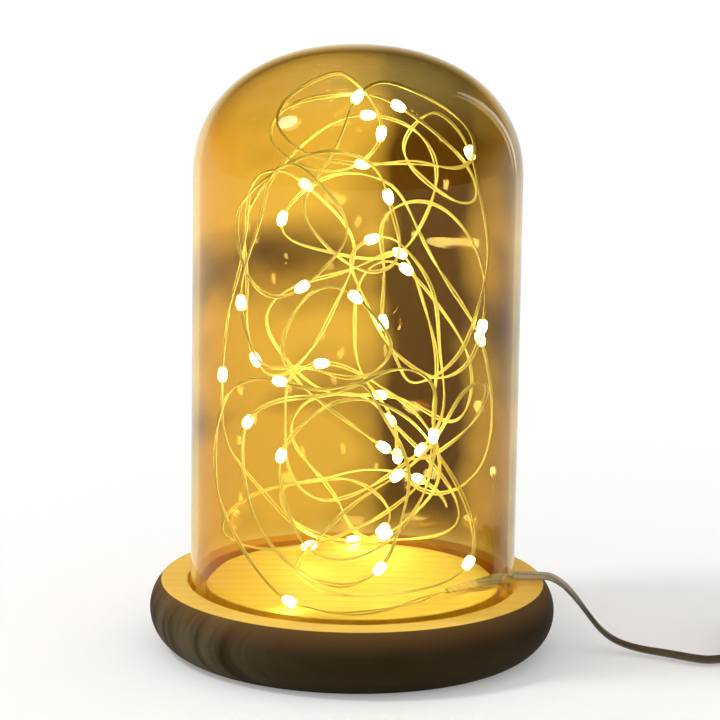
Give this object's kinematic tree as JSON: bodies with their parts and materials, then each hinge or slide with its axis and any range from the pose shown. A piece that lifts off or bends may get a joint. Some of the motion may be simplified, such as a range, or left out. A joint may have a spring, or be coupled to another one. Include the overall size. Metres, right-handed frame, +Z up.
{
  "type": "glass dome light",
  "caption": "Glass bell dome on a turned wooden base, filled with a looped string of small warm lights on thin wire, with a lead to a USB plug.",
  "frame": {"origin": "middle of the underside of the wooden base", "axes": "+Z up along the axis of the dome, +X towards the side where the lead leaves, -Y towards the viewer of the picture"},
  "size_m": [0.2291, 0.125, 0.1853],
  "materials": {
    "base_wood": "satin",
    "dome_glass": "polished",
    "string_metal": "polished",
    "bead_resin": "gloss",
    "splice_plastic": "gloss",
    "lead_pvc": "gloss",
    "tie_plastic": "matte",
    "plug_plastic": "satin",
    "shell_steel": "brushed",
    "contact_metal": "polished",
    "tongue_plastic": "matte",
    "board_laminate": "satin",
    "resistor_ceramic": "matte"
  },
  "bodies": {
    "base": {"board_resistor": "resistor_ceramic", "coil_tie_1": "tie_plastic", "coil_tie_2": "tie_plastic", "lead_coil": "lead_pvc", "lead_run": "lead_pvc", "lead_tail": "lead_pvc", "led_bead_01": "bead_resin", "led_bead_02": "bead_resin", "led_bead_03": "bead_resin", "led_bead_04": "bead_resin", "led_bead_05": "bead_resin", "led_bead_06": "bead_resin", "led_bead_07": "bead_resin", "led_bead_08": "bead_resin", "led_bead_09": "bead_resin", "led_bead_10": "bead_resin", "led_bead_11": "bead_resin", "led_bead_12": "bead_resin", "led_bead_13": "bead_resin", "led_bead_14": "bead_resin", "led_bead_15": "bead_resin", "led_bead_16": "bead_resin", "led_bead_17": "bead_resin", "led_bead_18": "bead_resin", "led_bead_19": "bead_resin", "led_bead_20": "bead_resin", "led_bead_21": "bead_resin", "led_bead_22": "bead_resin", "led_bead_23": "bead_resin", "led_bead_24": "bead_resin", "led_bead_25": "bead_resin", "led_bead_26": "bead_resin", "led_bead_27": "bead_resin", "led_bead_28": "bead_resin", "led_bead_29": "bead_resin", "led_bead_30": "bead_resin", "led_bead_31": "bead_resin", "led_bead_32": "bead_resin", "led_bead_33": "bead_resin", "led_bead_34": "bead_resin", "led_bead_35": "bead_resin", "led_bead_36": "bead_resin", "led_bead_37": "bead_resin", "led_bead_38": "bead_resin", "led_bead_39": "bead_resin", "plug_board": "board_laminate", "plug_case": "plug_plastic", "plug_cover": "plug_plastic", "plug_gland": "plug_plastic", "splice_sleeve": "splice_plastic", "string_wire": "string_metal", "usb_contact_1": "contact_metal", "usb_contact_2": "contact_metal", "usb_contact_3": "contact_metal", "usb_contact_4": "contact_metal", "usb_shell": "shell_steel", "usb_tongue": "tongue_plastic", "wood_base": "base_wood"},
    "dome": {"glass_dome": "dome_glass"}
  },
  "joints": [
    {"name": "dome_lift", "type": "slide", "parent": "base", "child": "dome", "axis": [0, 0, 1], "range_m": [0, 0.18]}
  ]
}
